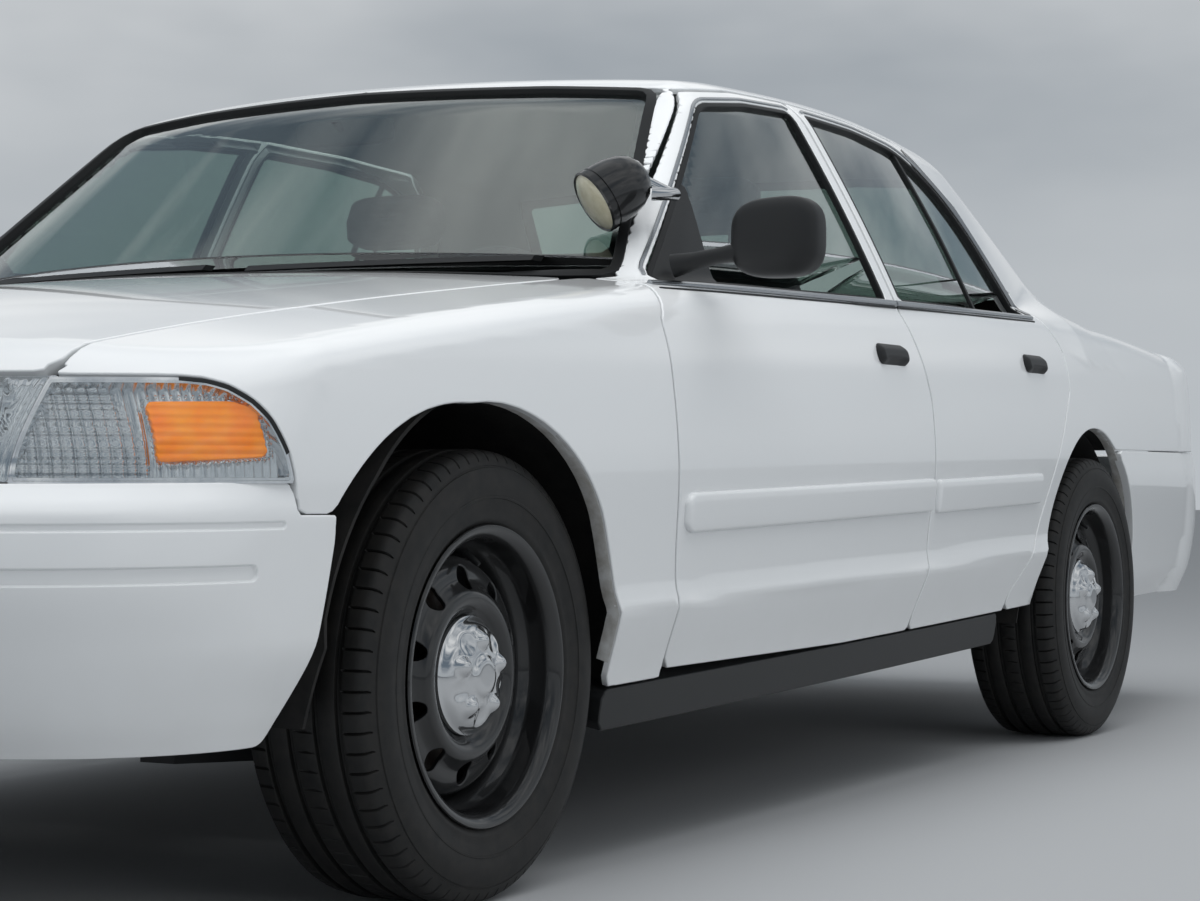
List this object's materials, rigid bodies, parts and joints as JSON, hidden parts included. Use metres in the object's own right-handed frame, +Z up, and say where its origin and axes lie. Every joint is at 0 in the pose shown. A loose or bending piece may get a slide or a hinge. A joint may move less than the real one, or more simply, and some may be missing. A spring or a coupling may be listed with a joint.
{
  "type": "police patrol car",
  "caption": "Full-size sedan patrol car with opening doors, hood and trunk lid, rolling steel wheels, coupled front steering and a pillar spotlight.",
  "frame": {"origin": "on the ground midway along the length, on the centre line", "axes": "+X forward, +Y to the car's left, +Z up"},
  "size_m": [5.3839, 2.28, 1.4863],
  "materials": {
    "white_paint": "gloss clear-coated white",
    "white_bumper": "painted moulded bumper cover",
    "black_plastic": "grained black",
    "tinted_glass": "green tinted safety glass",
    "lamp_lens": "clear fluted lens",
    "grille_black": "moulded grille",
    "tail_red": "red lens",
    "wheel_black": "gloss black steel wheel",
    "tyre_rubber": "black rubber",
    "cast_steel": "bare cast metal",
    "frame_black": "satin frame paint",
    "underbody": "sealed underbody paint",
    "tank_plastic": "moulded tank",
    "exhaust_steel": "aluminised steel",
    "cabin_plastic": "dark cabin moulding",
    "seat_cloth": "dark woven cloth",
    "spotlight_black": "gloss black shell"
  },
  "bodies": {
    "body": {"fixed_glass": "tinted_glass", "roof_and_pillars": "white_paint", "front_wings": "white_paint", "rear_quarters": "white_paint", "front_bumper": "white_bumper", "rear_bumper": "white_bumper", "rocker_sills": "black_plastic", "headlamps": "lamp_lens", "corner_lamps": "lamp_lens", "grille": "grille_black", "tail_lamps": "tail_red", "cowl": "black_plastic", "chassis_frame": "frame_black", "control_arms": "frame_black", "engine": "cast_steel", "rear_axle": "cast_steel", "floor_pan": "underbody", "firewall": "underbody", "rear_bulkhead": "underbody", "trunk_floor": "underbody", "wheelhouses": "underbody", "hinge_seats": "frame_black", "fuel_tank": "tank_plastic", "exhaust": "exhaust_steel", "dashboard": "cabin_plastic", "steering_wheel": "cabin_plastic", "front_seats": "seat_cloth", "rear_seat": "seat_cloth", "interior_mirror": "cabin_plastic", "spotlight": "spotlight_black", "wipers": "black_plastic"},
    "front_door_left_body": {"front_door_left": "white_paint", "front_door_glass_left": "tinted_glass", "front_door_fittings_left": "black_plastic"},
    "front_wheel_left_body": {"front_wheel_left": "wheel_black", "front_tyre_left": "tyre_rubber"},
    "rear_door_left_body": {"rear_door_left": "white_paint", "rear_door_glass_left": "tinted_glass", "rear_door_fittings_left": "black_plastic"},
    "rear_wheel_left_body": {"rear_wheel_left": "wheel_black", "rear_tyre_left": "tyre_rubber"},
    "knuckle_left_body": {"steering_knuckle_left": "cast_steel"},
    "front_door_right_body": {"front_door_right": "white_paint", "front_door_glass_right": "tinted_glass", "front_door_fittings_right": "black_plastic"},
    "front_wheel_right_body": {"front_wheel_right": "wheel_black", "front_tyre_right": "tyre_rubber"},
    "rear_door_right_body": {"rear_door_right": "white_paint", "rear_door_glass_right": "tinted_glass", "rear_door_fittings_right": "black_plastic"},
    "rear_wheel_right_body": {"rear_wheel_right": "wheel_black", "rear_tyre_right": "tyre_rubber"},
    "knuckle_right_body": {"steering_knuckle_right": "cast_steel"},
    "hood_body": {"hood": "white_paint", "hood_hinges": "frame_black"},
    "trunk_lid_body": {"trunk_lid": "white_paint", "trunk_lid_hinges": "frame_black"}
  },
  "joints": [
    {"name": "front_door_left_hinge", "type": "hinge", "parent": "body", "child": "front_door_left_body", "pos_m": [1.062, 0.981, 0.65], "axis": [0, 0, -1], "range_deg": [0, 68]},
    {"name": "rear_door_left_hinge", "type": "hinge", "parent": "body", "child": "rear_door_left_body", "pos_m": [-0.112, 0.982, 0.65], "axis": [0, 0, -1], "range_deg": [0, 68]},
    {"name": "steering_left", "type": "hinge", "parent": "body", "child": "knuckle_left_body", "pos_m": [1.6275, 0.735, 0.345], "axis": [0, 0, 1], "range_deg": [-32, 32]},
    {"name": "front_wheel_left_roll", "type": "hinge", "parent": "knuckle_left_body", "child": "front_wheel_left_body", "pos_m": [1.6275, 0.805, 0.345], "axis": [0, 1, 0], "continuous": true},
    {"name": "rear_wheel_left_roll", "type": "hinge", "parent": "body", "child": "rear_wheel_left_body", "pos_m": [-1.2855, 0.833, 0.345], "axis": [0, 1, 0], "continuous": true},
    {"name": "front_door_right_hinge", "type": "hinge", "parent": "body", "child": "front_door_right_body", "pos_m": [1.062, -0.981, 0.65], "axis": [0, 0, 1], "range_deg": [0, 68]},
    {"name": "rear_door_right_hinge", "type": "hinge", "parent": "body", "child": "rear_door_right_body", "pos_m": [-0.112, -0.982, 0.65], "axis": [0, 0, 1], "range_deg": [0, 68]},
    {"name": "steering_right", "type": "hinge", "parent": "body", "child": "knuckle_right_body", "pos_m": [1.6275, -0.735, 0.345], "axis": [0, 0, 1], "range_deg": [-32, 32]},
    {"name": "front_wheel_right_roll", "type": "hinge", "parent": "knuckle_right_body", "child": "front_wheel_right_body", "pos_m": [1.6275, -0.805, 0.345], "axis": [0, 1, 0], "continuous": true},
    {"name": "rear_wheel_right_roll", "type": "hinge", "parent": "body", "child": "rear_wheel_right_body", "pos_m": [-1.2855, -0.833, 0.345], "axis": [0, 1, 0], "continuous": true},
    {"name": "hood_hinge", "type": "hinge", "parent": "body", "child": "hood_body", "pos_m": [1.066, 0, 0.992], "axis": [0, -1, 0], "range_deg": [0, 52]},
    {"name": "trunk_lid_hinge", "type": "hinge", "parent": "body", "child": "trunk_lid_body", "pos_m": [-1.696, 0, 1.035], "axis": [0, 1, 0], "range_deg": [0, 75]}
  ],
  "couplings": [
    {"joint": "steering_right", "follows": "steering_left", "ratio": 1}
  ]
}
